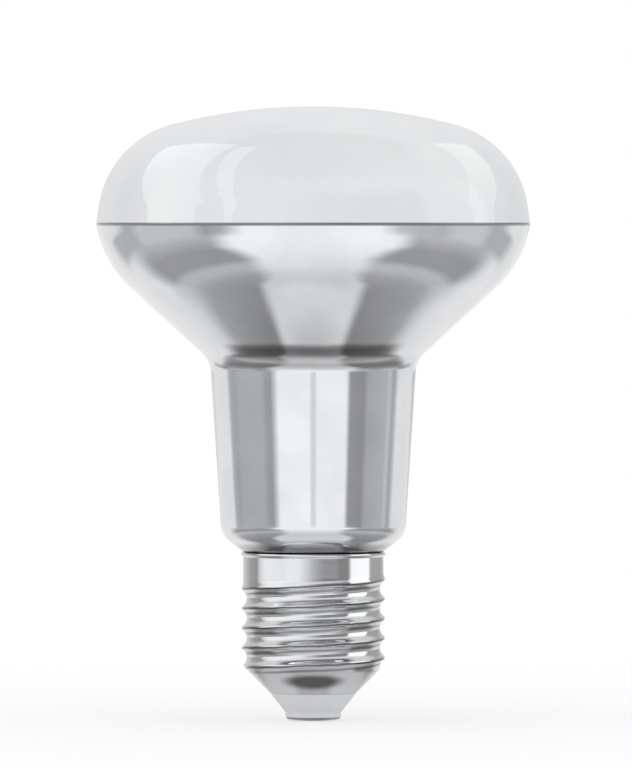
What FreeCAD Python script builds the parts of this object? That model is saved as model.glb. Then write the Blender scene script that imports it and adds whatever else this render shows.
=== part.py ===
import FreeCAD, Part
import math
import os
from FreeCAD import Vector

# Reflector lamp with an 80 mm bulb and a 27 mm screw cap.
# Millimetres, the axis along +Z, and the tip of the centre contact at the origin.
# Angles are in degrees.

# Sealed glass bulb, from the front dome down to the neck
bulb_radius = 40.0
dome_height = 21.7
dome_side = 3.3
dome_draft = 8.0
shoulder_radius = 18.2
crown_room = 1.0
bowl_height = 7.5
bowl_draft = 13.0
bowl_round = 20.0
cone_height = 17.6
corner_round = 5.0
neck_height = 32.2
neck_top_radius = 19.05
neck_bottom_radius = 16.95
neck_round = 4.0
neck_foot = 3.2

# Rolled shell of the screw cap, with its knuckle thread
cap_height = 31.0
sheet = 0.3
skirt_height = 4.9
skirt_inset = 0.25
lip_flare = 0.4
crest_radius = 13.2
thread_depth = 0.9
pitch = 25.4 / 7
crest_land = 0.6
root_land = 1.3
groove_turns = 4.75
groove_end = 90.0
run_out = 0.25
shell_cone_bottom = 5.0
opening_radius = 7.9
cone_angle = 45.0

# Insulating plug and the centre contact that is riveted into it
insulator_tip_radius = 5.1
insulator_tip_height = 1.5
contact_radius = 4.9
contact_height = 0.6
contact_land_radius = 2.6
plug_height = 1.2
stem_radius = 1.6
stem_length = 4.0

# Clearances: between the glass and the cap, and between the small cap pieces
cement_gap = 0.05
seat_gap = 0.02

# How far the groove's sides run past the crest, and the angle between its stations
rim_lift = 0.03
station_angle = 45.0

# How far a chord of the bulb's section may lie inside the round that it follows
chord_sag = 0.05

# Heights that follow from the sizes above
neck_bottom = cap_height + neck_foot
neck_top = neck_bottom + neck_height
bowl_bottom = neck_top + cone_height
seam = bowl_bottom + bowl_height
apex = seam + dome_height

# Radii and heights of the cap that follow from the sizes above
root_radius = crest_radius - thread_depth
bore_radius = root_radius - sheet
skirt_radius = crest_radius - skirt_inset
skirt_bore = skirt_radius - sheet
skirt_bottom = cap_height - skirt_height
cone_slope = math.tan(math.radians(cone_angle))
sheet_on_slope = sheet / math.cos(math.radians(cone_angle))
bore_bottom = shell_cone_bottom + (bore_radius - opening_radius + sheet_on_slope) / cone_slope


def at(radius, height):
    """A point of a section, at a radius and a height."""
    return Vector(radius, 0, height)


def direction(degrees):
    """The unit vector of a section at an angle above the outward radius."""
    return at(math.cos(math.radians(degrees)), math.sin(math.radians(degrees)))


def line(start, end):
    return Part.LineSegment(start, end).toShape()


def arc_points(centre, radius, first, last):
    """Points along an arc between two angles above the outward radius, one after each chord."""
    chord_turn = 2 * math.degrees(math.acos(1 - chord_sag / radius))
    chords = math.ceil(abs(last - first) / chord_turn)
    turn = (last - first) / chords
    return [centre + direction(first + i * turn) * radius for i in range(chords + 1)]


def rounded(before, corner, after, radius):
    """Points along the arc that rounds a corner between two straight lines."""
    back = (before - corner).normalize()
    ahead = (after - corner).normalize()
    half_angle = back.getAngle(ahead) / 2
    bisector = (back + ahead).normalize()
    centre = corner + bisector * (radius / math.sin(half_angle))
    reach = radius / math.tan(half_angle)
    ends = [corner + side * reach - centre for side in (back, ahead)]
    angles = [math.degrees(math.atan2(end.z, end.x)) for end in ends]
    # The arc runs the short way round between its two ends.
    angles[1] = angles[0] + (angles[1] - angles[0] + 180) % 360 - 180
    return arc_points(centre, radius, *angles)


def revolved(corners):
    """The solid that a closed section, given by its corners, sweeps round the axis."""
    edges = [line(a, b) for a, b in zip(corners, corners[1:] + corners[:1])]
    return Part.Face(Part.Wire(edges)).revolve(Vector(0, 0, 0), Vector(0, 0, 1), 360)


def dome_points():
    """The front dome's section from the axis to the seam: a crown, a shoulder and a straight side."""
    rim = at(bulb_radius, seam)
    side_head = rim + direction(90 + dome_draft) * dome_side
    # The shoulder stays low enough to leave room for the crown above it.
    room = (apex - crown_room - side_head.z) / (1 - math.sin(math.radians(dome_draft)))
    shoulder = min(shoulder_radius, room)
    shoulder_centre = side_head - direction(dome_draft) * shoulder
    # The crown touches the shoulder's arc and is centred on the axis.
    drop = apex - shoulder_centre.z
    crown = (shoulder_centre.x**2 + drop**2 - shoulder**2) / (2 * (drop - shoulder))
    join = shoulder_centre - at(0, apex - crown)
    join_angle = math.degrees(math.atan2(join.z, join.x))
    crown_points = arc_points(at(0, apex - crown), crown, 90, join_angle)
    return crown_points + arc_points(shoulder_centre, shoulder, join_angle, dome_draft)[1:] + [rim]


def reflector_points():
    """The reflector's section below the seam: the bowl, the cone, the neck and its foot in the cap."""
    rim = at(bulb_radius, seam)
    bowl_corner = at(bulb_radius - bowl_height * math.tan(math.radians(bowl_draft)), bowl_bottom)
    neck_corner = at(neck_top_radius, neck_top)
    foot_corner = at(neck_bottom_radius, neck_bottom)
    mouth = at(skirt_bore - cement_gap, cap_height - lip_flare / 2)
    bowl = rounded(rim, bowl_corner, neck_corner, bowl_round)
    corner = rounded(bowl_corner, neck_corner, foot_corner, corner_round)
    foot = rounded(neck_corner, foot_corner, mouth, neck_round)
    return bowl + corner + foot + [mouth]


def glass_bulb():
    """The sealed bulb, closed at the front and standing in the cap down to the shell's cone."""
    stem = [
        at(skirt_bore - cement_gap, skirt_bottom + cement_gap),
        at(bore_radius - cement_gap, skirt_bottom + cement_gap),
        at(bore_radius - cement_gap, bore_bottom),
        at(0, bore_bottom),
    ]
    return revolved(dome_points() + reflector_points() + stem)


def cap_outside():
    """The outside of the cap before its thread is rolled, as a solid: cone, wall and turned lip."""
    cone_top = shell_cone_bottom + (crest_radius - opening_radius) / cone_slope
    return revolved(
        [
            at(0, shell_cone_bottom),
            at(opening_radius, shell_cone_bottom),
            at(crest_radius, cone_top),
            at(crest_radius, skirt_bottom - skirt_inset),
            at(skirt_radius, skirt_bottom),
            at(skirt_radius, cap_height - lip_flare),
            at(skirt_radius + lip_flare, cap_height),
            at(0, cap_height),
        ]
    )


def cap_inside():
    """The room inside the shell: open at the lip, narrower below the skirt and open at its foot."""
    past = sheet
    return revolved(
        [
            at(0, shell_cone_bottom - past),
            at(opening_radius, shell_cone_bottom - past),
            at(opening_radius, shell_cone_bottom + sheet_on_slope / cone_slope),
            at(bore_radius, bore_bottom),
            at(bore_radius, skirt_bottom),
            at(skirt_bore, skirt_bottom),
            at(skirt_bore, cap_height - lip_flare),
            at(skirt_bore + lip_flare + past, cap_height + past),
            at(0, cap_height + past),
        ]
    )


def groove_corners():
    """Corners of the thread's groove as (radius, height from its middle, whether it runs out)."""
    crest_edge = (pitch - crest_land) / 2
    # The flanks run on a little past the crest, and the groove is open further out.
    rim_edge = crest_edge + rim_lift * (crest_edge - root_land / 2) / thread_depth
    lower = [
        (crest_radius + pitch / 2, -rim_edge, False),
        (crest_radius + rim_lift, -rim_edge, False),
        (root_radius, -root_land / 2, True),
    ]
    upper = [(radius, -height, fades) for radius, height, fades in reversed(lower)]
    return lower + upper


def floor_lift(turns):
    """How far the groove's floor has moved outwards after some turns, to run out at its upper end."""
    share = (turns - (groove_turns - run_out)) / run_out
    share = min(max(share, 0.0), 1.0)
    return (thread_depth + rim_lift) * share * share * (3 - 2 * share)


def groove():
    """The solid that the rolled groove takes out of the wall: straight strips between helices."""
    stations = round(groove_turns * 360 / station_angle)
    half_step = math.radians(station_angle) / 2
    middle_weight = math.cos(half_step)
    # The groove's upper edge meets the skirt on the side of +X, and it fades out beyond that.
    top = skirt_bottom - pitch / 2
    last = math.radians(groove_end)

    def pole(index, corner):
        """A pole of a strip's edge: even ones lie on the helix, odd ones where its tangents meet."""
        radius, height, fades = corner
        angle = last + (index - 2 * stations) * half_step
        if fades:
            radius = radius + floor_lift(index * math.degrees(half_step) / 360)
        if index % 2:
            radius = radius / middle_weight
        height = height + top + pitch * angle / (2 * math.pi)
        return Vector(radius * math.cos(angle), radius * math.sin(angle), height)

    count = 2 * stations + 1
    weights = [[middle_weight if i % 2 else 1.0] * 2 for i in range(count)]
    along = [3] + [2] * (stations - 1) + [3]
    knots = list(range(stations + 1))
    corners = groove_corners()
    faces = []
    for a, b in zip(corners, corners[1:] + corners[:1]):
        poles = [[pole(i, a), pole(i, b)] for i in range(count)]
        strip = Part.BSplineSurface()
        strip.buildFromPolesMultsKnots(poles, along, [2, 2], knots, [0, 1], False, False, 2, 1, weights)
        faces.append(strip.toShape())
    for end in (0, count - 1):
        ring = [pole(end, corner) for corner in corners]
        faces.append(Part.Face(Part.makePolygon(ring + ring[:1])))
    solid = Part.Solid(Part.Shell(faces))
    if solid.Volume < 0:
        solid.reverse()
    return solid


def screw_shell():
    """The cap's shell: the thread is rolled into a plain wall, which the cone and lip then bound."""
    wall = Part.makeCylinder(crest_radius + lip_flare, cap_height)
    land = Part.makeCylinder(crest_radius, skirt_bottom)
    threaded = land.cut(groove())
    upper = wall.cut(Part.makeCylinder(crest_radius + 2 * lip_flare, skirt_bottom))
    return threaded.fuse(upper).common(cap_outside()).cut(cap_inside())


def insulator():
    """The insulating plug: it sits in the shell's cone, comes out at its opening and ends in a tip."""
    neck = opening_radius - seat_gap
    stem_hole = stem_radius + seat_gap
    stem_top = contact_height + stem_length + seat_gap
    foot = shell_cone_bottom + sheet_on_slope / cone_slope + seat_gap
    plug_top = foot + plug_height
    top_radius = neck + plug_height * cone_slope
    return revolved(
        [
            at(stem_hole, contact_height),
            at(insulator_tip_radius, contact_height),
            at(insulator_tip_radius, insulator_tip_height),
            at(neck, shell_cone_bottom),
            at(neck, foot),
            at(top_radius, plug_top),
            at(0, plug_top),
            at(0, stem_top),
            at(stem_hole, stem_top),
        ]
    )


def centre_contact():
    """The centre contact: a shallow dish with a flat tip, and its stem in the plug."""
    rim_height = contact_height / 2
    stem_top = contact_height + stem_length
    return revolved(
        [
            at(0, 0),
            at(contact_land_radius, 0),
            at(contact_radius, rim_height),
            at(contact_radius, contact_height),
            at(stem_radius, contact_height),
            at(stem_radius, stem_top),
            at(0, stem_top),
        ]
    )


def main():
    os.makedirs("parts", exist_ok=True)
    glass_bulb().exportStep("parts/glass_bulb.step")
    screw_shell().exportStep("parts/screw_shell.step")
    insulator().exportStep("parts/insulator.step")
    centre_contact().exportStep("parts/centre_contact.step")


main()
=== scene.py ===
import logging
import math
from dataclasses import dataclass, field
from enum import Enum
from typing import Any

import bpy
import numpy as np
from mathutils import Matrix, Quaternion, Vector


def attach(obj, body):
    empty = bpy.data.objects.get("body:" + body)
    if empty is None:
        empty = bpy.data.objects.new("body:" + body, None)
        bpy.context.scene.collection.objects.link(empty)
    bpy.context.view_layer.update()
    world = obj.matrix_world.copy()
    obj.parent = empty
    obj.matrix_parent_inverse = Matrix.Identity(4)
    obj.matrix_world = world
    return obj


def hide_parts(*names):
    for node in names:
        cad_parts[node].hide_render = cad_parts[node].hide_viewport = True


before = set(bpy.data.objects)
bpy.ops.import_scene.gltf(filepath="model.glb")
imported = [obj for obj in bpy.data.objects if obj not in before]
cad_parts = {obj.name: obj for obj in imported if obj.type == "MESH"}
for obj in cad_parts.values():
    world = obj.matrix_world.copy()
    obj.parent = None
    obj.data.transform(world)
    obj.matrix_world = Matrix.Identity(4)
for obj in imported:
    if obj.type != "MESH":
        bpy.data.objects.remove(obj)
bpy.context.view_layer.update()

Tree = bpy.types.NodeTree
Node = bpy.types.Node
Socket = bpy.types.NodeSocket
Object = bpy.types.Object
Pair = tuple[float, float]
Pairs = tuple[Pair, ...]
Triple = tuple[float, float, float]
Tones = tuple[str, str]
Array = np.ndarray

log = logging.getLogger("reflector_lamp")

MM = 0.001
BODY = "root"
WHITE = (1.0, 1.0, 1.0, 1.0)
GLASS_IOR = 1.52
# Most of a noise node's values lie between these.
NOISE_SPAN = (0.3, 0.7)
# Settings of nodes.
MULTIPLY = {"operation": "MULTIPLY"}
MULTIPLY_ADD = {"operation": "MULTIPLY_ADD"}
MAXIMUM = {"operation": "MAXIMUM"}
LENGTH = {"operation": "LENGTH"}
SMOOTH = {"interpolation_type": "SMOOTHSTEP"}
COLOUR_MIX = {"data_type": "RGBA"}
COLOUR_PRODUCT = {"data_type": "RGBA", "blend_type": "MULTIPLY"}


class Slot(Enum):
    """The record's material slots."""

    GLASS = "bulb_glass"
    SHELL = "cap_metal"
    INSULATOR = "cap_insulator"
    CONTACT = "contact_metal"


def linear(hex_colour: str) -> tuple[float, float, float, float]:
    """Turns an sRGB colour into linear numbers.

    Args:
        hex_colour: six hex digits, such as "E8E9EA".

    Returns:
        Linear red, green, blue and an alpha of 1.
    """
    srgb = np.array([int(hex_colour[i : i + 2], 16) for i in (0, 2, 4)]) / 255
    low, high = srgb / 12.92, ((srgb + 0.055) / 1.055) ** 2.4
    return (*(float(v) for v in np.where(srgb <= 0.04045, low, high)), 1.0)


def grey(level: float) -> tuple[float, float, float, float]:
    """A linear grey."""
    return level, level, level, 1.0


def add_node(
    tree: Tree,
    kind: str,
    settings: dict[str, Any] | None = None,
    inputs: dict[str | int, Any] | None = None,
    stops: Pairs = (),
) -> Node:
    """Adds a shader node with its settings, values and links.

    Args:
        tree: the node tree that gets it.
        kind: the node's type name in Blender, after "ShaderNode".
        settings: properties of the node by name.
        inputs: for each input a value, an output socket, or a node for its first output.
        stops: places from 0 to 1 and grey levels along the node's ramp, where it has one.

    Returns:
        The new node.
    """
    node = tree.nodes.new("ShaderNode" + kind)
    for name, value in (settings or {}).items():
        setattr(node, name, value)
    for name, value in (inputs or {}).items():
        if isinstance(value, Node):
            value = value.outputs[0]
        if isinstance(value, Socket):
            tree.links.new(value, node.inputs[name])
        else:
            node.inputs[name].default_value = value
    if stops:
        elements = node.color_ramp.elements
        elements.remove(elements[-1])
        elements[0].position = stops[0][0]
        elements[0].color = grey(stops[0][1])
        for position, level in stops[1:]:
            elements.new(position).color = grey(level)
    return node


def cleared(owner: bpy.types.Material | bpy.types.World) -> Tree:
    """Turns on the nodes of a material or a world, and clears them."""
    owner.use_nodes = True
    owner.node_tree.nodes.clear()
    return owner.node_tree


def arc(centre: Pair, radius: float, first: float, last: float, count: int) -> Array:
    """Points along an arc of a section.

    Each point is the centre plus the radius times the cosine and sine of an angle that runs
    evenly from the first to the last.

    Args:
        centre: radius and height of the arc's centre.
        radius: the arc's own radius.
        first: first angle in degrees above the outward radius.
        last: last angle in degrees.
        count: number of points.

    Returns:
        Rows of (radius, height).
    """
    angles = np.radians(np.linspace(first, last, count))
    return np.array(centre) + radius * np.column_stack([np.cos(angles), np.sin(angles)])


def rounded(corners: list[Pair], radii: list[float], count: int) -> Array:
    """Rounds the inner corners of a chain of straight lines.

    Each corner gives way to the arc that touches both of its lines: the arc starts at the
    corner's reach, which is the radius over the tangent of half the angle between the lines.

    Args:
        corners: points of the chain as (radius, height).
        radii: one radius for each inner corner, 0 where it stays sharp.
        count: points on each arc.

    Returns:
        Rows of (radius, height), with the chain's two ends.
    """
    points = np.array(corners, float)
    rows = [points[:1]]
    for before, corner, after, radius in zip(points, points[1:], points[2:], radii):
        if radius == 0:
            rows.append(corner[None])
            continue
        back = (before - corner) / np.linalg.norm(before - corner)
        ahead = (after - corner) / np.linalg.norm(after - corner)
        half = np.arccos(np.clip(back @ ahead, -1, 1)) / 2
        bisector = (back + ahead) / np.linalg.norm(back + ahead)
        centre = corner + bisector * radius / np.sin(half)
        ends = [corner + side * radius / np.tan(half) - centre for side in (back, ahead)]
        first, last = (np.degrees(np.arctan2(end[1], end[0])) for end in ends)
        last = first + (last - first + 180) % 360 - 180
        rows.append(arc(tuple(centre), radius, first, last, count))
    rows.append(points[-1:])
    return np.vstack(rows)


def spaced(section: Array, step: float) -> Array:
    """Adds points along a section wherever two of its points lie further apart than a step.

    Args:
        section: rows of (radius, height).
        step: the longest stretch allowed, in the section's unit.

    Returns:
        The section with its own points kept and even ones between them.
    """
    along = np.diff(section, axis=0)
    counts = np.maximum(np.ceil(np.linalg.norm(along, axis=1) / step).astype(int), 1)
    starts = np.repeat(np.arange(len(counts)), counts)
    first_of_run = np.repeat(np.cumsum(counts) - counts, counts)
    shares = (np.arange(counts.sum()) - first_of_run) / counts[starts]
    between = section[starts] + shares[:, None] * along[starts]
    return np.vstack([between, section[-1:]])


def cut_at(section: Array, heights: tuple[float, ...]) -> Array:
    """Adds the points where a section's falling part crosses some heights.

    Args:
        section: rows of (radius, height), with heights that only fall.
        heights: heights that need a point.

    Returns:
        The section with a point at each height.
    """
    rising = section[::-1]
    radii = np.interp(heights, rising[:, 1], rising[:, 0])
    merged = np.vstack([section, np.column_stack([radii, heights])])
    return merged[np.argsort(-merged[:, 1], kind="stable")]


def smooth_step(share: Array) -> Array:
    """The cubic that leaves 0 and reaches 1 with no slope: 3 s squared minus 2 s cubed."""
    share = np.clip(share, 0, 1)
    return share * share * (3 - 2 * share)


def soft_min(a: Array, b: Array, width: float) -> Array:
    """The lower of two values, rounded where they cross: their mean less half the root of the
    squared gap plus the squared width."""
    return (a + b - np.sqrt((a - b) ** 2 + width**2)) / 2


def mesh_of_grid(name: str, points: Array, poles: bool) -> bpy.types.Mesh:
    """Makes a closed mesh from a grid that goes round the axis.

    Each face joins a point, the one below it and the two beside those.

    Args:
        name: the mesh's name.
        points: rows by columns by 3, in millimetres. Columns go once round the axis against
            the clock. The section runs so that its left side, seen along it, is outside.
        poles: True where the first and the last row are each one point on the axis, and
            False where the last row joins the first, as in a ring.

    Returns:
        The mesh in metres, with smooth faces that point outwards.
    """
    rows, columns = points.shape[:2]
    index = np.arange(rows * columns).reshape(rows, columns)
    places = points.reshape(-1, 3) * MM
    if poles:
        places = places[columns - 1 : (rows - 1) * columns + 1]
        index -= columns - 1
        index[0], index[-1] = 0, len(places) - 1
    else:
        index = np.vstack([index, index[:1]])
    beside = np.roll(index, -1, axis=1)
    quads = np.stack([index[:-1], index[1:], beside[1:], beside[:-1]], axis=-1).reshape(-1, 4)
    faces = quads.tolist()
    if poles:
        # At a pole two corners are the same point, and one of them goes.
        faces[:columns] = quads[:columns, :3].tolist()
        faces[-columns:] = quads[-columns:, [0, 1, 3]].tolist()
    mesh = bpy.data.meshes.new(name)
    mesh.from_pydata(places.tolist(), [], faces)
    mesh.polygons.foreach_set("use_smooth", np.ones(len(faces), bool))
    mesh.update()
    return mesh


def turned(section: Array, columns: int) -> Array:
    """Turns a section round the axis: x is the radius times the cosine, y times the sine.

    Args:
        section: rows of (radius, height).
        columns: steps once round.

    Returns:
        A grid of rows by columns by 3.
    """
    angles = np.linspace(0, 2 * np.pi, columns, endpoint=False)
    radius, height = section[:, :1], section[:, 1:]
    x, y = radius * np.cos(angles), radius * np.sin(angles)
    return np.stack([x, y, height + 0 * angles], axis=-1)


def uneven(
    tree: Tree, place_of: Any, size_mm: float, depth_mm: float, detail: float = 1.0
) -> tuple[Node, Node]:
    """Makes a surface a little uneven: noise, read as a height.

    Args:
        tree: the node tree.
        place_of: the place on the piece, in metres.
        size_mm: size of the unevenness.
        depth_mm: its depth.
        detail: how much finer noise it holds.

    Returns:
        The noise, and the bump that reads it.
    """
    shape = {"Vector": place_of, "Scale": 1 / (size_mm * MM), "Detail": detail}
    noise = add_node(tree, "TexNoise", inputs=shape)
    return noise, add_node(tree, "Bump", inputs={"Height": noise, "Distance": depth_mm * MM})


def fading_edge_on(tree: Tree, span: Pair, end: float) -> Node:
    """Gives a share that falls from 1 where a surface is seen more and more edge on.

    Args:
        tree: the node tree.
        span: the Layer Weight's values over which it falls.
        end: the share that it falls to.

    Returns:
        The share's node.
    """
    facing = add_node(tree, "LayerWeight", inputs={"Blend": 0.5}).outputs["Facing"]
    fall = {"From Min": span[0], "From Max": span[1], "To Min": 1.0, "To Max": end}
    return add_node(tree, "MapRange", SMOOTH, {"Value": facing, **fall})


def level_along(tree: Tree, value: Any, steps: Pairs, unit: float = 1.0) -> Socket:
    """Reads a grey level off a chain of straight lines along a value.

    Args:
        tree: the node tree.
        value: socket or node with the value.
        steps: rising places and the level at each.
        unit: what a place of 1 is in the value's own unit.

    Returns:
        The level.
    """
    first, last = steps[0][0], steps[-1][0]
    span = {"From Min": first * unit, "From Max": last * unit}
    share = add_node(tree, "MapRange", inputs={"Value": value, **span})
    stops = tuple(((spot - first) / (last - first), level) for spot, level in steps)
    return add_node(tree, "ValToRGB", inputs={0: share}, stops=stops).outputs[0]


def azimuth_of(tree: Tree, parts: Node) -> Node:
    """Gives the azimuth from the camera's side, the arc tangent of x over minus y.

    Args:
        tree: the node tree.
        parts: the x, y and z of a place or a direction.

    Returns:
        The azimuth's node, in radians.
    """
    front = add_node(tree, "Math", MULTIPLY, {0: parts.outputs["Y"], 1: -1.0})
    return add_node(tree, "Math", {"operation": "ARCTAN2"}, {0: parts.outputs["X"], 1: front})


def blend_over(
    tree: Tree, value: Any, span: Pair, first: Any, second: Any, way: dict[str, str] = SMOOTH
) -> Socket:
    """Goes from one colour to another while a value crosses a span.

    Args:
        tree: the node tree.
        value: socket or node with the value.
        span: where the change starts and ends.
        first: colour or socket before the span.
        second: colour or socket after it.
        way: settings for how it goes, none for a straight line.

    Returns:
        The colour.
    """
    span_of = {"From Min": span[0], "From Max": span[1]}
    share = add_node(tree, "MapRange", way, {"Value": value, **span_of})
    mixed = add_node(tree, "Mix", COLOUR_MIX, {"Factor": share, 6: first, 7: second})
    return mixed.outputs[2]


@dataclass(frozen=True, kw_only=True)
class Finish:
    """A finish in soft patches of two tones, on one material.

    It can have an uneven surface and a clear skin of glass. A finish with more to it builds
    its own inputs.
    """

    name: str
    # Hex colours where the patches' noise is low and where it is high, the patches' size, how
    # much finer noise they hold, and the noise's values between which the colours change.
    tones: Tones
    patch_mm: float
    patch_detail: float
    patch_span: Pair = (0.0, 1.0)
    metallic: float = 0.0
    # One value, or those at the two ends of a span of a noise.
    roughness: float | Pair
    rough_span: Pair = NOISE_SPAN
    # Size and depth of the surface's waves or grain, and how rough the skin is, if it has them.
    wave_mm: float | None = None
    wave_depth_mm: float = 0.0
    skin_roughness: float | None = None

    def patches(self, tree: Tree, place_of: Socket) -> tuple[Node, Socket]:
        """Lets one tone give way to the other in soft patches.

        Args:
            tree: the node tree.
            place_of: the place on the piece, in metres.

        Returns:
            The patches' noise and their colour.
        """
        scale = 1 / (self.patch_mm * MM)
        shape = {"Vector": place_of, "Scale": scale, "Detail": self.patch_detail}
        noise = add_node(tree, "TexNoise", inputs=shape)
        low, high = (linear(tone) for tone in self.tones)
        return noise, blend_over(tree, noise, self.patch_span, low, high, {})

    def rough_by(self, tree: Tree, noise: Node) -> Any:
        """Reads the roughness off a noise, unless it is one value.

        Args:
            tree: the node tree.
            noise: the noise.

        Returns:
            The roughness or its node.
        """
        if isinstance(self.roughness, float):
            return self.roughness
        span = {"From Min": self.rough_span[0], "From Max": self.rough_span[1]}
        ends = {"To Min": self.roughness[0], "To Max": self.roughness[1]}
        return add_node(tree, "MapRange", inputs={"Value": noise, **span, **ends})

    def skin(self) -> dict[str, float]:
        """The shader's values for a clear skin of glass."""
        values = (1.0, self.skin_roughness, GLASS_IOR)
        return dict(zip(("Coat Weight", "Coat Roughness", "Coat IOR"), values))

    def inputs(self, tree: Tree, place_of: Socket) -> dict[str, Any]:
        """Builds the nodes that feed the shader.

        Args:
            tree: the node tree.
            place_of: the place on the piece, in metres.

        Returns:
            The shader's values and links by input.
        """
        noise, colour = self.patches(tree, place_of)
        rough = self.rough_by(tree, noise)
        given = {"Base Color": colour, "Metallic": self.metallic, "Roughness": rough}
        if self.wave_mm:
            given["Normal"] = uneven(tree, place_of, self.wave_mm, self.wave_depth_mm)[1]
        return given | (self.skin() if self.skin_roughness else {})

    def material(self) -> bpy.types.Material:
        """Builds the material.

        Returns:
            The finished material.
        """
        made = bpy.data.materials.new(self.name)
        tree = cleared(made)
        place_of = add_node(tree, "TexCoord").outputs["Object"]
        shader = add_node(tree, "BsdfPrincipled", inputs=self.inputs(tree, place_of))
        add_node(tree, "OutputMaterial", inputs={"Surface": shader})
        return made


@dataclass(frozen=True)
class OpalCoatedGlass(Finish):
    """Soda-lime glass with a white powder coating on its inside.

    The eye sees an even, slightly cloudy white under a clear polished skin, whose faint waves
    come from blowing and bend the reflections a little.
    """

    name: str = "opal_coated_glass"
    tones: Tones = ("E0E1E3", "E5E6E7")
    patch_mm: float = 16.0
    patch_detail: float = 3.0
    patch_span: Pair = (0.45, 0.9)
    grain_mm: float = 0.8
    grain_share: float = 0.35
    roughness: float = 0.55
    wave_mm: float = 22.0
    wave_depth_mm: float = 0.03
    skin_roughness: float = 0.03
    # Seen nearly edge on, the thick white shows through more of the gloss.
    edge_gloss: Pair = (0.55, 0.85)
    edge_coat: float = 0.25

    def inputs(self, tree: Tree, place_of: Socket) -> dict[str, Any]:
        """Clouds with a fine grain, and waves that reach the skin alone.

        Args:
            tree: the node tree.
            place_of: the place on the piece, in metres.

        Returns:
            The shader's values and links by input.
        """
        shapes = (
            {"Vector": place_of, "Scale": 1 / (size * MM), "Detail": detail}
            for size, detail in ((self.patch_mm, self.patch_detail), (self.grain_mm, 1.0))
        )
        cloud, grain = (add_node(tree, "TexNoise", inputs=shape) for shape in shapes)
        both = add_node(tree, "Math", MULTIPLY_ADD, {0: grain, 1: self.grain_share, 2: cloud})
        thin, thick = (linear(tone) for tone in self.tones)
        return {
            "Base Color": blend_over(tree, both, self.patch_span, thin, thick, {}),
            "Roughness": self.roughness,
            "Specular IOR Level": 0.0,
            **self.skin(),
            "Coat Weight": fading_edge_on(tree, self.edge_gloss, self.edge_coat),
            "Coat Normal": uneven(tree, place_of, self.wave_mm, self.wave_depth_mm)[1],
        }


@dataclass(frozen=True)
class MirrorCoatedGlass(Finish):
    """Soda-lime glass with a vapour-deposited aluminium coating on its inside.

    The eye sees a bright, slightly soft mirror below a clear polished skin. The coating is a
    touch cloudy, and the waves of the blown glass bend what it mirrors. Dark rings near the
    neck are painted reflections of the shadow under the lamp.
    """

    name: str = "mirror_coated_glass"
    tones: Tones = ("DFE1E4", "E9EAED")
    patch_mm: float = 9.0
    patch_detail: float = 4.0
    patch_span: Pair = (0.35, 0.65)
    metallic: float = 1.0
    roughness: Pair = (0.07, 0.04)
    wave_mm: float = 18.0
    wave_depth_mm: float = 0.02
    skin_roughness: float = 0.02
    # Heights in millimetres, and how much of the mirror's brightness is left there: painted
    # dark reflections of the shadow under the lamp, where the glass turns in under the neck and
    # where the cone turns into the neck.
    painted_shadow_rings: Pairs = (
        (30.0, 0.28), (32.1, 0.30), (33.1, 1.0), (64.6, 1.0), (65.2, 0.58), (65.8, 0.50),
        (66.5, 0.80), (66.9, 0.74), (67.5, 0.28), (68.5, 0.20), (69.1, 0.35), (69.8, 1.0),
        (74.0, 1.0),
    )
    ring_smudge_mm: float = 0.4
    # Seen more and more edge on, the painted upper ring fades and gives way to the gloss of the
    # glass in front.
    ring_gloss: Pair = (0.48, 0.59)
    upper_ring_from: float = 50.0

    def inputs(self, tree: Tree, place_of: Socket) -> dict[str, Any]:
        """Clouds, rings of painted dark reflection with smudged edges, and waves.

        Args:
            tree: the node tree.
            place_of: the place on the piece, in metres.

        Returns:
            The shader's values and links by input.
        """
        cloud, colour = self.patches(tree, place_of)
        height = add_node(tree, "SeparateXYZ", inputs={0: place_of}).outputs["Z"]
        smudge = 2 * self.ring_smudge_mm * MM
        smudged = add_node(tree, "Math", MULTIPLY_ADD, {0: cloud, 1: smudge, 2: height})
        rings = tuple((spot + self.ring_smudge_mm, left) for spot, left in self.painted_shadow_rings)
        left = level_along(tree, smudged, rings, MM)
        below = {0: height, 1: self.upper_ring_from * MM}
        lower = add_node(tree, "Math", {"operation": "LESS_THAN"}, below)
        facing = fading_edge_on(tree, self.ring_gloss, 0.0)
        shown = add_node(tree, "Math", MAXIMUM, {0: facing, 1: lower})
        # The rings are a painted reflection of shadow, multiplied into the coating's colour.
        ringed = add_node(tree, "Mix", COLOUR_PRODUCT, {"Factor": shown, 6: colour, 7: left})
        return {
            "Base Color": ringed.outputs[2],
            "Metallic": self.metallic,
            "Roughness": self.rough_by(tree, cloud),
            "Normal": uneven(tree, place_of, self.wave_mm, self.wave_depth_mm)[1],
            **self.skin(),
        }


@dataclass(frozen=True)
class BareGlassSeam(Finish):
    """The line of bare glass between the two coatings.

    The eye sees a thin grey line, because it looks through the glass into the dim inside.
    """

    name: str = "bare_glass_seam"
    tones: Tones = ("666A6E", "7C7F83")
    patch_mm: float = 7.0
    patch_detail: float = 2.0
    roughness: float = 0.4
    skin_roughness: float = 0.03


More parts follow.
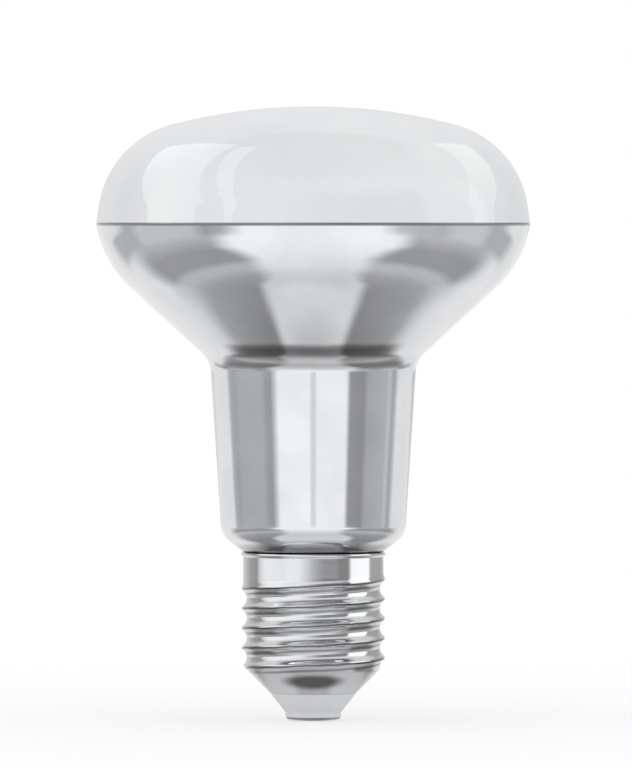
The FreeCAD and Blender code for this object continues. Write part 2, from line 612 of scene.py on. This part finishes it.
@dataclass(frozen=True, kw_only=True)
class NickelPlatedSheet(Finish):
    """Brass sheet, rolled and nickel plated.

    The eye sees bright grey metal with soft highlights, fine marks that run round it where it
    was rolled, and a few duller patches. The dark lines along the thread's crest and flank are
    painted reflections.
    """

    # The thread's pitch, and the height of its groove's middle on the side of +X.
    pitch: float
    groove_height: float
    name: str = "nickel_plated_sheet"
    tones: Tones = ("D9DADC", "E5E6E8")
    patch_mm: float = 5.0
    patch_detail: float = 4.0
    metallic: float = 1.0
    roughness: Pair = (0.07, 0.09)
    # The rolling marks are long round the cap and short along it.
    wave_mm: float = 0.25
    wave_depth_mm: float = 0.0005
    wave_detail: float = 2.0
    wave_stretch: Triple = (0.04, 0.04, 1.0)
    # What the painted reflection lines leave of the colour, by the share of a pitch above a
    # groove's middle.
    # The crest is at one half.
    painted_reflection_lines: Pairs = (
        (0.0, 1.0), (0.10, 1.0), (0.17, 0.50), (0.23, 0.42), (0.30, 1.0), (0.40, 1.0),
        (0.45, 0.22), (0.49, 0.22), (0.54, 1.0), (1.0, 1.0),
    )
    reflection_lines_wave: float = 0.14
    # The heights over which the lines start and end, on the cone and under the skirt.
    reflection_lines_from: Pair = (8.5, 9.4)
    reflection_lines_to: Pair = (25.9, 26.5)

    def inputs(self, tree: Tree, place_of: Socket) -> dict[str, Any]:
        """Patches, rolling marks, and painted reflection lines that climb with the thread.

        A point's share of a pitch is what is left of its height over the pitch, less its turn
        round the axis, plus a little noise.

        Args:
            tree: the node tree.
            place_of: the place on the piece, in metres.

        Returns:
            The shader's values and links by input.
        """
        patch, colour = self.patches(tree, place_of)
        parts = add_node(tree, "SeparateXYZ", inputs={0: place_of})
        height = parts.outputs["Z"]
        # The azimuth starts a quarter turn before +X.
        climb = 0.25 - self.reflection_lines_wave / 2 - self.groove_height / self.pitch
        for value, factor in (
            (patch, self.reflection_lines_wave),
            (height, 1 / (self.pitch * MM)),
            (azimuth_of(tree, parts), -1 / math.tau),
        ):
            climb = add_node(tree, "Math", MULTIPLY_ADD, {0: value, 1: factor, 2: climb})
        across = add_node(tree, "Math", {"operation": "FRACT"}, {0: climb})
        kept = level_along(tree, across, self.painted_reflection_lines)
        low, high = (tuple(spot * MM for spot in span) for span in (self.reflection_lines_from, self.reflection_lines_to))
        kept = blend_over(tree, height, low, WHITE, kept)
        kept = blend_over(tree, height, high, kept, WHITE)
        # Painted reflections: dark lines along the crest and the lower flank, multiplied into the
        # plating's colour.
        lined = add_node(tree, "Mix", COLOUR_PRODUCT, {"Factor": 1.0, 6: colour, 7: kept})
        stretch = {"Vector": place_of, "Scale": self.wave_stretch}
        along = add_node(tree, "Mapping", inputs=stretch)
        marks, bump = uneven(tree, along, self.wave_mm, self.wave_depth_mm, self.wave_detail)
        return {
            "Base Color": lined.outputs[2],
            "Metallic": self.metallic,
            "Roughness": self.rough_by(tree, marks),
            "Normal": bump,
        }


@dataclass(frozen=True)
class MouldedInsulator(Finish):
    """Pale grey polyester moulding.

    The eye sees an even, faintly grained grey with a broad soft sheen.
    """

    name: str = "moulded_insulator"
    tones: Tones = ("DEE0E3", "E7E8EA")
    patch_mm: float = 2.5
    patch_detail: float = 3.0
    roughness: float = 0.38
    wave_mm: float = 0.18
    wave_depth_mm: float = 0.006


@dataclass(frozen=True)
class TinnedContact(Finish):
    """Pressed brass, tinned.

    The eye sees satin grey metal with small darker and rougher patches where it has rubbed.
    """

    name: str = "tinned_contact"
    tones: Tones = ("8E8F90", "B9BABB")
    patch_mm: float = 1.6
    patch_detail: float = 4.0
    metallic: float = 1.0
    roughness: Pair = (0.4, 0.25)
    rough_span: Pair = (0.0, 1.0)


def put(name: str, data: Any) -> Object:
    """Puts a new object with a mesh, a light or a camera in the scene."""
    made = bpy.data.objects.new(name, data)
    bpy.context.scene.collection.objects.link(made)
    return made


def place(mesh: bpy.types.Mesh, node: str, finishes: list[Finish]) -> Object:
    """Dresses a mesh and puts it in the scene in place of its CAD node.

    Args:
        mesh: the mesh, in metres in the row frame.
        node: the CAD node that it stands for.
        finishes: what it is dressed in.

    Returns:
        The piece.
    """
    for finish in finishes:
        mesh.materials.append(finish.material())
    piece = put(mesh.name, mesh)
    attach(piece, BODY)
    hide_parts(node)
    return piece


@dataclass
class BlownBulb:
    """The sealed bulb of blown glass, with its dome, bowl, cone and neck, in millimetres."""

    radius: float = 40.0
    seam: float = 91.5
    apex: float = 113.2
    dome_side: float = 3.3
    dome_draft: float = 8.0
    shoulder: float = 18.2
    bowl_bottom: float = 84.0
    bowl_draft: float = 13.0
    bowl_round: float = 20.0
    neck_top: Pair = (19.05, 66.4)
    neck_foot: Pair = (16.95, 34.2)
    corner_round: float = 5.0
    foot_round: float = 4.0
    mouth: Pair = (12.6, 30.8)
    stem: Pairs = ((12.6, 26.15), (11.95, 26.15), (11.95, 9.524), (0.0, 9.524))
    seam_round: float = 1.2
    seam_band: float = 0.28
    crown_points: int = 28
    shoulder_points: int = 40
    round_points: int = 24
    step: float = 0.8
    stem_step: float = 3.0
    columns: int = 224

    def dome(self) -> Array:
        """The dome's section, from the axis down to the seam.

        A straight side leans in from the seam, an arc turns from it to the crown, and the
        crown is the arc centred on the axis that touches it.

        Returns:
            Rows of (radius, height).
        """
        draft = math.radians(self.dome_draft)
        head = np.array([self.radius, self.seam])
        head += self.dome_side * np.array([-math.sin(draft), math.cos(draft)])
        centre = head - self.shoulder * np.array([math.cos(draft), math.sin(draft)])
        drop = self.apex - centre[1]
        crown = (centre[0] ** 2 + drop**2 - self.shoulder**2) / (2 * (drop - self.shoulder))
        join = math.degrees(math.atan2(centre[1] - (self.apex - crown), centre[0]))
        crown_arc = arc((0.0, self.apex - crown), crown, 90, join, self.crown_points)
        turn = (join, self.dome_draft, self.shoulder_points)
        shoulder_arc = arc(tuple(centre), self.shoulder, *turn)
        return np.vstack([crown_arc, shoulder_arc[1:]])

    def section(self) -> Array:
        """The whole closed section from the top of the axis to its foot.

        Returns:
            Rows of (radius, height).
        """
        dome = self.dome()
        lean = math.tan(math.radians(self.bowl_draft))
        bowl_foot = (self.radius - (self.seam - self.bowl_bottom) * lean, self.bowl_bottom)
        corners = [tuple(dome[-1]), (self.radius, self.seam), bowl_foot]
        corners += [self.neck_top, self.neck_foot, self.mouth, self.stem[0]]
        radii = [self.seam_round, self.bowl_round, self.corner_round, self.foot_round, 0.0]
        below = rounded(corners, radii, self.round_points)
        outer = spaced(np.vstack([dome, below[1:-1]]), self.step)
        outer = cut_at(outer, (self.seam + self.seam_band, self.seam - self.seam_band))
        return np.vstack([outer, spaced(np.array(self.stem), self.stem_step)])

    def build(self) -> Object:
        """Makes the glass and dresses it: opal dome, seam line and mirror.

        Returns:
            The piece.
        """
        mesh = mesh_of_grid("blown_bulb", turned(self.section(), self.columns), True)
        centres = np.empty(len(mesh.polygons) * 3)
        mesh.polygons.foreach_get("center", centres)
        above_seam = centres.reshape(-1, 3)[:, 2] / MM - self.seam
        # The finishes are numbered downwards, and the seam's band lies between its two edges.
        zone = (above_seam <= self.seam_band).astype(np.int32) + (above_seam <= -self.seam_band)
        mesh.polygons.foreach_set("material_index", zone.astype(np.int32))
        finishes = [OpalCoatedGlass(), BareGlassSeam(), MirrorCoatedGlass()]
        return place(mesh, "glass_bulb", finishes)


@dataclass
class RolledShell:
    """The cap's shell of rolled sheet: lip, skirt, knuckle thread and cone, in millimetres."""

    lip_top: float = 31.0
    lip_flare: float = 0.4
    lip_bead: float = 0.4
    lip_drop: float = 0.3
    sheet: float = 0.3
    skirt_radius: float = 12.95
    skirt_bottom: float = 26.1
    crest: float = 13.2
    root: float = 12.3
    pitch: float = 25.4 / 7
    crest_round: float = 0.45
    root_round: float = 1.75
    bead_fall: float = 1.1
    groove_end: float = 90.0
    run_out: float = 90.0
    cone_foot: Pair = (7.9, 5.0)
    cone_blend: float = 0.25
    bore: float = 12.0
    bore_bottom: float = 9.524
    fine_step: float = 0.12
    inside_step: float = 2.0
    columns: int = 240

    def knuckle(self, offset: Array) -> Array:
        """The rolled thread's radius, from the middle of a groove.

        The groove's floor is an arc, the crest is a tighter arc, and a straight flank touches
        both. The flank's slope comes from the line that crosses between the two circles.

        Args:
            offset: distance along the axis from the middle of the highest groove.

        Returns:
            The radius. Above the last crest it falls to the skirt.
        """
        half = self.pitch / 2
        rise = (self.crest - self.crest_round) - (self.root + self.root_round)
        span = math.hypot(half, rise)
        slope = math.atan2(rise, half) + math.asin((self.crest_round + self.root_round) / span)
        near = np.abs((offset + half) % self.pitch - half)
        floor_end = self.root_round * math.sin(slope)
        crest_start = half - self.crest_round * math.sin(slope)
        floor = self.root + self.root_round - np.sqrt(
            np.maximum(self.root_round**2 - np.minimum(near, floor_end) ** 2, 0)
        )
        flank = np.clip(near - floor_end, 0, crest_start - floor_end) * math.tan(slope)
        past = half - np.maximum(near, crest_start)
        cap = np.sqrt(np.maximum(self.crest_round**2 - past**2, 0))
        thread = floor + flank + cap - self.crest_round * math.cos(slope)
        fall = smooth_step((offset - half) / self.bead_fall)
        bead = self.crest - (self.crest - self.skirt_radius) * fall
        return np.where(offset > half, bead, thread)

    def outside(self, height: Array, angle: Array) -> Array:
        """The shell's outer radius at a height and an angle.

        The groove climbs one pitch a turn. Over its last part it gives way to the crest of
        the turn below it, so it fades out under the skirt. Low down the cone cuts it off, and
        at the top the lip is rolled to a bead, which is part of a circle.

        Args:
            height: heights in millimetres.
            angle: angles in degrees, from -270 to 90.

        Returns:
            The radius.
        """
        groove = self.skirt_bottom - self.pitch / 2 + self.pitch * angle / 360
        fade = smooth_step((angle - (self.groove_end - self.run_out)) / self.run_out)
        last_turn = self.knuckle(height - groove)
        turn_below = self.knuckle(height - groove + self.pitch)
        wall = last_turn * (1 - fade) + turn_below * fade
        cone = self.cone_foot[0] + height - self.cone_foot[1]
        wall = soft_min(wall, cone, self.cone_blend)
        from_bead = (height - (self.lip_top - self.lip_drop)) / self.lip_bead
        return wall + self.lip_flare * np.sqrt(np.clip(1 - from_bead**2, 0, 1))

    def build(self) -> Object:
        """Makes the shell as one closed sheet and dresses it.

        Returns:
            The piece.
        """
        rows = math.ceil((self.lip_top - self.cone_foot[1]) / self.fine_step)
        heights = np.linspace(self.lip_top, self.cone_foot[1], rows)
        start = self.groove_end - 360
        angles = np.linspace(start, self.groove_end, self.columns, endpoint=False)
        grid_height, grid_angle = np.meshgrid(heights, angles, indexing="ij")
        skirt_bore = self.skirt_radius - self.sheet
        corners = [
            (self.cone_foot[0], self.cone_foot[1] + self.sheet * math.sqrt(2)),
            (self.bore, self.bore_bottom), (self.bore, self.skirt_bottom),
            (skirt_bore, self.skirt_bottom), (skirt_bore, self.lip_top - 2 * self.lip_flare),
            (skirt_bore + self.lip_flare, self.lip_top),
        ]
        inside = spaced(np.array(corners), self.inside_step)
        inside_radius, inside_height = (
            np.repeat(column[:, None], self.columns, axis=1) for column in inside.T
        )
        radius = np.vstack([self.outside(grid_height, grid_angle), inside_radius])
        height = np.vstack([grid_height, inside_height])
        turn = np.radians(np.broadcast_to(angles, radius.shape))
        points = np.stack([radius * np.cos(turn), radius * np.sin(turn), height], axis=-1)
        mesh = mesh_of_grid("rolled_shell", points, False)
        groove = self.skirt_bottom - self.pitch / 2
        sheet = NickelPlatedSheet(pitch=self.pitch, groove_height=groove)
        return place(mesh, "screw_shell", [sheet])


@dataclass
class InsulatorPlug:
    """The moulded plug at the foot of the cap, in millimetres."""

    tip: Pair = (5.1, 1.5)
    tip_foot: float = 0.6
    neck: Pair = (7.88, 5.0)
    neck_top: float = 5.444
    flange_top: Pair = (9.08, 6.644)
    stem_hole: Pair = (1.62, 4.62)
    edge_round: float = 0.35
    round_points: int = 8
    step: float = 0.5
    columns: int = 160

    def build(self) -> Object:
        """Turns the plug's section round the axis and dresses it.

        Returns:
            The piece.
        """
        corners = [
            (0.0, self.flange_top[1]), self.flange_top, (self.neck[0], self.neck_top), self.neck,
            self.tip, (self.tip[0], self.tip_foot), (self.stem_hole[0], self.tip_foot),
            self.stem_hole, (0.0, self.stem_hole[1]),
        ]
        radii = [0.0, 0.0, 0.0, self.edge_round, self.edge_round / 2, 0.0, 0.0]
        section = spaced(rounded(corners, radii, self.round_points), self.step)
        mesh = mesh_of_grid("insulator_plug", turned(section, self.columns), True)
        return place(mesh, "insulator", [MouldedInsulator()])


@dataclass
class ContactDish:
    """The centre contact, a pressed dish with its stem, in millimetres."""

    land: float = 2.6
    rim: Pair = (4.9, 0.3)
    back: float = 0.6
    stem: Pair = (1.6, 4.6)
    stem_round: float = 0.2
    back_round: float = 0.12
    rim_round: float = 0.15
    land_round: float = 6.0
    round_points: int = 10
    step: float = 0.4
    columns: int = 128

    def build(self) -> Object:
        """Turns the dish's section round the axis and dresses it.

        Returns:
            The piece.
        """
        corners = [
            (0.0, self.stem[1]), self.stem, (self.stem[0], self.back), (self.rim[0], self.back),
            self.rim, (self.land, 0.0), (0.0, 0.0),
        ]
        radii = [self.stem_round, 0.0, self.back_round, self.rim_round, self.land_round]
        section = spaced(rounded(corners, radii, self.round_points), self.step)
        mesh = mesh_of_grid("contact_dish", turned(section, self.columns), True)
        return place(mesh, "centre_contact", [TinnedContact()])


class Use(Enum):
    """What a softbox is for."""

    SHADING = "soft light on matt surfaces"
    GLOSS = "a window shape in the gloss of the dome"


@dataclass(frozen=True)
class Softbox:
    """A flat soft light that faces the lamp, by direction in degrees and size in metres."""

    name: str
    use: Use
    azimuth: float
    elevation: float
    roll: float
    distance: float
    width: float
    height: float
    radiance: float

    def build(self, target: Vector, bulb: Object) -> None:
        """Hangs the light so that it faces the target.

        Args:
            target: the point that it faces.
            bulb: the one piece that a light for gloss reaches.
        """
        data = bpy.data.lights.new(self.name, "AREA")
        data.shape = "RECTANGLE"
        data.size, data.size_y = self.width, self.height
        # An area light's radiance is its power over four times its area.
        data.energy = self.radiance * 4 * self.width * self.height
        light = put(self.name, data)
        a, e = math.radians(self.azimuth), math.radians(self.elevation)
        away = Vector((math.sin(a) * math.cos(e), -math.cos(a) * math.cos(e), math.sin(e)))
        light.location = target + away * self.distance
        turn = away.to_track_quat("Z", "Y") @ Quaternion((0, 0, 1), math.radians(self.roll))
        light.rotation_euler = turn.to_euler()
        light.visible_glossy = self.use is Use.GLOSS
        light.visible_diffuse = self.use is Use.SHADING
        if self.use is Use.GLOSS:
            reached = bpy.data.collections.new(self.name)
            reached.objects.link(bulb)
            light.light_linking.receiver_collection = reached


def mirror_paths(tree: Tree) -> tuple[Node, Node]:
    """Tells rays from gloss and through glass from the others.

    Args:
        tree: the node tree.

    Returns:
        The light paths, and a node that is 1 for rays from gloss and through glass.
    """
    paths = add_node(tree, "LightPath")
    kinds = {0: paths.outputs["Is Glossy Ray"], 1: paths.outputs["Is Transmission Ray"]}
    return paths, add_node(tree, "Math", MAXIMUM, kinds)


@dataclass(frozen=True)
class Panorama:
    """The white panels and grey gaps that mirrors see round the lamp.

    Each band is for a range of heights and gives grey levels by azimuth in degrees from the
    camera.
    """

    bowl: Pairs = (
        (-180, 0.86), (-150, 0.86), (-140, 0.52), (-118, 0.50), (-110, 0.66), (-72, 0.62),
        (-62, 0.42), (-52, 0.50), (-38, 1.08), (38, 1.06), (50, 0.64), (76, 0.52), (88, 0.68),
        (108, 0.69), (116, 0.52), (136, 0.50), (148, 0.82), (180, 0.86),
    )
    low: Pairs = (
        (-180, 0.88), (-150, 0.84), (-116, 0.88), (-110, 0.50), (-102, 0.44), (-95, 0.50),
        (-62, 0.51), (-56, 0.42), (-50, 0.40), (-45, 0.72), (-41, 1.06), (-4, 1.06), (-2.4, 0.80),
        (2.4, 0.80), (4, 1.04), (38, 1.02), (43, 0.36), (60, 0.33), (66, 0.46), (92, 0.52),
        (98, 0.64), (104, 0.44), (108, 0.55), (114, 0.88), (150, 0.84), (180, 0.88),
    )
    level: Pairs = (
        (-180, 0.80), (-150, 0.68), (-124, 0.40), (-106, 0.38), (-98, 0.88), (-86, 1.10),
        (-60, 1.14), (-24, 1.08), (-12, 0.82), (8, 0.40), (18, 0.29), (60, 0.29), (66, 1.35),
        (103, 1.35), (109, 0.46), (144, 0.44), (180, 0.80),
    )
    above: Pairs = (
        (-180, 0.68), (-150, 0.72), (-100, 0.86), (-60, 0.95), (60, 0.95), (100, 0.86),
        (150, 0.72), (180, 0.68),
    )
    # Sines of the elevations over which each band gives way to the one above it.
    spans: Pairs = ((-0.22, -0.17), (-0.052, -0.040), (0.40, 0.62))
    # The dark opening over the lamp: sines of the elevations over which it starts, in front of
    # the lamp and behind it, and the part of y over which the one gives way to the other.
    opening_level: float = 0.1
    opening_front: Pair = (0.60, 0.96)
    opening_back: Pair = (0.80, 0.90)
    opening_turn: Pair = (-0.1, 0.1)

    def colour(self, tree: Tree) -> Socket:
        """Builds the nodes that turn a direction into the level seen there.

        Args:
            tree: the world's node tree.

        Returns:
            The colour.
        """
        toward = add_node(tree, "TexCoord").outputs["Generated"]
        parts = add_node(tree, "SeparateXYZ", inputs={0: toward})
        height = parts.outputs["Z"]
        azimuth = azimuth_of(tree, parts)
        bands = [
            level_along(tree, azimuth, band, math.radians(1))
            for band in (self.bowl, self.low, self.level, self.above)
        ]
        colour = bands[0]
        for band, span in zip(bands[1:], self.spans):
            colour = blend_over(tree, height, span, colour, band)
        dark = grey(self.opening_level)
        front, back = (
            blend_over(tree, height, span, colour, dark)
            for span in (self.opening_front, self.opening_back)
        )
        return blend_over(tree, parts.outputs["Y"], self.opening_turn, front, back)


@dataclass(frozen=True)
class FloorTones:
    """What mirrors see of the floor near the lamp, by distance from the axis in millimetres.

    It is bright in front, in the bulb's soft shadow at both sides, and pale behind.
    """

    front: Pairs = (
        (0, 0.52), (9, 0.52), (12, 0.48), (13, 0.55), (18, 0.64), (22, 0.74), (28, 0.79),
        (45, 0.73), (62, 0.78), (80, 0.91), (105, 0.99), (150, 1.06), (250, 1.10),
    )
    side: Pairs = (
        (0, 0.68), (9, 0.68), (13, 0.64), (15, 0.60), (18, 0.40), (22, 0.30), (30, 0.29),
        (45, 0.36), (60, 0.42), (75, 0.56), (86, 0.57), (100, 0.38), (140, 0.38), (180, 0.50),
        (250, 0.62),
    )
    back: Pairs = ((0, 0.50), (12, 0.60), (25, 0.70), (45, 0.82), (60, 0.86), (250, 0.86))
    # The half angle of the bright front in degrees, by distance.
    front_half: Pairs = (
        (0, 34), (12.8, 34), (14, 56), (17, 62), (22, 64), (25, 62), (29, 59), (34, 57), (41, 50),
        (50, 38), (62, 33), (100, 35), (120, 40), (150, 50), (250, 50),
    )
    front_edge: float = 9.0
    to_back: Pair = (105, 132)
    # The dark crescent close in front of the cap, a painted contact shadow: the distance of its
    # middle, how much that grows per squared radian towards its tips, its half width, its half
    # angle, its level and the shares of its half size between which its edge fades.
    crescent_far: float = 10.1
    crescent_open: float = 1.0
    crescent_half: float = 1.9
    crescent_turn: float = 74.0
    crescent_level: float = 0.12
    crescent_edge: Pair = (0.4, 1.0)
    reach: float = 250.0
    fade_from: float = 190.0

    def crescent(self, tree: Tree, turn: Node, far: Socket) -> Socket:
        """Measures how far a place on the floor is from the middle of the crescent.

        It is the length of two parts: the distance from the crescent's middle line over its
        half width, and the turn over its half angle.

        Args:
            tree: the node tree.
            turn: the turn away from the front, in radians.
            far: the distance from the axis.

        Returns:
            A value that is 0 at the middle and 1 at the edge.
        """
        squared = add_node(tree, "Math", MULTIPLY, {0: turn, 1: turn})
        opening = {0: squared, 1: -self.crescent_open * MM, 2: far}
        opened = add_node(tree, "Math", MULTIPLY_ADD, opening)
        start = -self.crescent_far / self.crescent_half
        widening = {0: opened, 1: 1 / (self.crescent_half * MM), 2: start}
        across = add_node(tree, "Math", MULTIPLY_ADD, widening)
        turning = {0: turn, 1: math.radians(self.crescent_turn)}
        sideways = add_node(tree, "Math", {"operation": "DIVIDE"}, turning)
        offset = add_node(tree, "CombineXYZ", inputs={0: across, 1: sideways})
        return add_node(tree, "VectorMath", LENGTH, {0: offset}).outputs["Value"]

    def shader(self, tree: Tree, place_of: Socket, far: Socket) -> Node:
        """Builds the emission that mirrors see, which clears further off.

        Args:
            tree: the node tree.
            place_of: the place on the floor, in metres.
            far: the distance from the axis.

        Returns:
            The shader.
        """
        quarter = 90
        half_turns = tuple((spot, degrees / quarter) for spot, degrees in self.front_half)
        front, side, back, half = (
            level_along(tree, far, tones, MM)
            for tones in (self.front, self.side, self.back, half_turns)
        )
        parts = add_node(tree, "SeparateXYZ", inputs={0: place_of})
        azimuth = azimuth_of(tree, parts)
        turn = add_node(tree, "Math", {"operation": "ABSOLUTE"}, {0: azimuth})
        past = {0: half, 1: -math.radians(quarter), 2: turn}
        past_front = add_node(tree, "Math", MULTIPLY_ADD, past)
        edge = math.radians(self.front_edge)
        tone = blend_over(tree, past_front, (-edge, edge), front, side)
        tone = blend_over(tree, turn, tuple(math.radians(a) for a in self.to_back), tone, back)
        spread = self.crescent(tree, turn, far)
        # A painted contact shadow, in what mirrors see of the floor.
        dark = grey(self.crescent_level)
        tone = blend_over(tree, spread, self.crescent_edge, dark, tone)
        near = add_node(tree, "Emission", inputs={"Color": tone, "Strength": 1.0})
        clear = add_node(tree, "BsdfTransparent")
        fade = {"From Min": self.fade_from * MM, "From Max": self.reach * MM}
        faded = add_node(tree, "MapRange", SMOOTH, {"Value": far, **fade})
        return add_node(tree, "MixShader", inputs={0: faded, 1: near, 2: clear})


@dataclass
class Studio:
    """The floor, the pale surroundings, the soft lights and the camera, in metres."""

    floor_half: float = 4.0
    paper: str = "F7F7F7"
    # How far from the lamp the floor turns into the white background, and from what share.
    floor_fade: Pair = (0.04, 0.30)
    floor_fade_start: float = 0.6
    plain_level: float = 0.98
    eye: Triple = (0.0005, -2.0, 0.0915)
    aim: Triple = (0.0005, 0.0, 0.06203)
    lens: float = 508.6
    sensor: float = 36.0
    clip: Pair = (0.1, 50.0)
    panorama: Panorama = field(default_factory=Panorama)
    floor_tones: FloorTones = field(default_factory=FloorTones)
    lit_height: float = 0.1
    softboxes: tuple[Softbox, ...] = (
        Softbox("top_box", Use.SHADING, 0, 66, 0, 0.9, 0.5, 0.5, 0.4),
        Softbox("left_window", Use.GLOSS, -98, 33, 45, 1.0, 0.64, 1.36, 1.0),
        Softbox("left_strip", Use.GLOSS, -62, 46, 30, 1.0, 0.145, 1.42, 1.1),
        Softbox("right_window", Use.GLOSS, 118, 26, -50, 1.0, 0.35, 1.02, 0.65),
    )

    def floor(self) -> None:
        """Lays the pale floor, which fades into the white background away from the lamp."""
        half = self.floor_half
        corners = [(-half, -half, 0.0), (half, -half, 0.0), (half, half, 0.0), (-half, half, 0.0)]
        mesh = bpy.data.meshes.new("floor")
        mesh.from_pydata(corners, [], [(0, 1, 2, 3)])
        mesh.materials.append(self.floor_material())
        put("floor", mesh)

    def floor_material(self) -> bpy.types.Material:
        """Matt pale paper near the lamp, and plain white light further off.

        Returns:
            The floor's material.
        """
        made = bpy.data.materials.new("pale_paper")
        tree = cleared(made)
        place_of = add_node(tree, "TexCoord").outputs["Object"]
        far = add_node(tree, "VectorMath", LENGTH, {0: place_of}).outputs["Value"]
        paths, in_mirror = mirror_paths(tree)
        paper = add_node(tree, "BsdfDiffuse", inputs={"Color": linear(self.paper)})
        glow = add_node(tree, "Emission", inputs={"Color": WHITE, "Strength": 1.0})
        fading = {"From Min": self.floor_fade[0], "From Max": self.floor_fade[1]}
        fading |= {"To Min": self.floor_fade_start, "To Max": 1.0}
        fade = add_node(tree, "MapRange", SMOOTH, {"Value": far, **fading})
        seen = add_node(tree, "Math", MULTIPLY, {0: fade, 1: paths.outputs["Is Camera Ray"]})
        lit = add_node(tree, "MixShader", inputs={0: seen, 1: paper, 2: glow})
        mirrored = self.floor_tones.shader(tree, place_of, far)
        final = add_node(tree, "MixShader", inputs={0: in_mirror, 1: lit, 2: mirrored})
        add_node(tree, "OutputMaterial", inputs={"Surface": final})
        return made

    def surroundings(self) -> None:
        """The world: the panorama in mirrors, white to the camera, and a plain even light."""
        world = bpy.data.worlds.new("studio")
        bpy.context.scene.world = world
        tree = cleared(world)
        paths, in_mirror = mirror_paths(tree)
        plain, studio, white = (
            add_node(tree, "Background", inputs={"Color": colour, "Strength": strength})
            for colour, strength in (
                (WHITE, self.plain_level), (self.panorama.colour(tree), 1.0), (WHITE, 1.0)
            )
        )
        around = add_node(tree, "MixShader", inputs={0: in_mirror, 1: plain, 2: studio})
        to_camera = paths.outputs["Is Camera Ray"]
        final = add_node(tree, "MixShader", inputs={0: to_camera, 1: around, 2: white})
        add_node(tree, "OutputWorld", inputs={"Surface": final})

    def camera(self) -> None:
        """Sets the long lens level with the seam, aimed at the lamp's middle."""
        data = bpy.data.cameras.new("camera")
        data.lens = self.lens
        data.sensor_width = self.sensor
        data.clip_start, data.clip_end = self.clip
        camera = put("camera", data)
        camera.location = self.eye
        away = Vector(self.eye) - Vector(self.aim)
        camera.rotation_euler = away.to_track_quat("Z", "Y").to_euler()
        bpy.context.scene.camera = camera

    def build(self, bulb: Object) -> None:
        """Sets up the whole studio.

        Args:
            bulb: the glass bulb.
        """
        self.floor()
        self.surroundings()
        for softbox in self.softboxes:
            softbox.build(Vector((0.0, 0.0, self.lit_height)), bulb)
        self.camera()
        bpy.context.scene.view_settings.view_transform = "Standard"


def main() -> None:
    """Builds the lamp's pieces in order, then the studio, and reports each piece."""
    logging.basicConfig(level=logging.INFO, format="%(name)s: %(message)s")
    assemblies = (BlownBulb(), RolledShell(), InsulatorPlug(), ContactDish())
    pieces = [assembly.build() for assembly in assemblies]
    for piece in pieces:
        log.info("%s: %d faces", piece.name, len(piece.data.polygons))
    Studio().build(pieces[0])


if __name__ == "__main__":
    main()
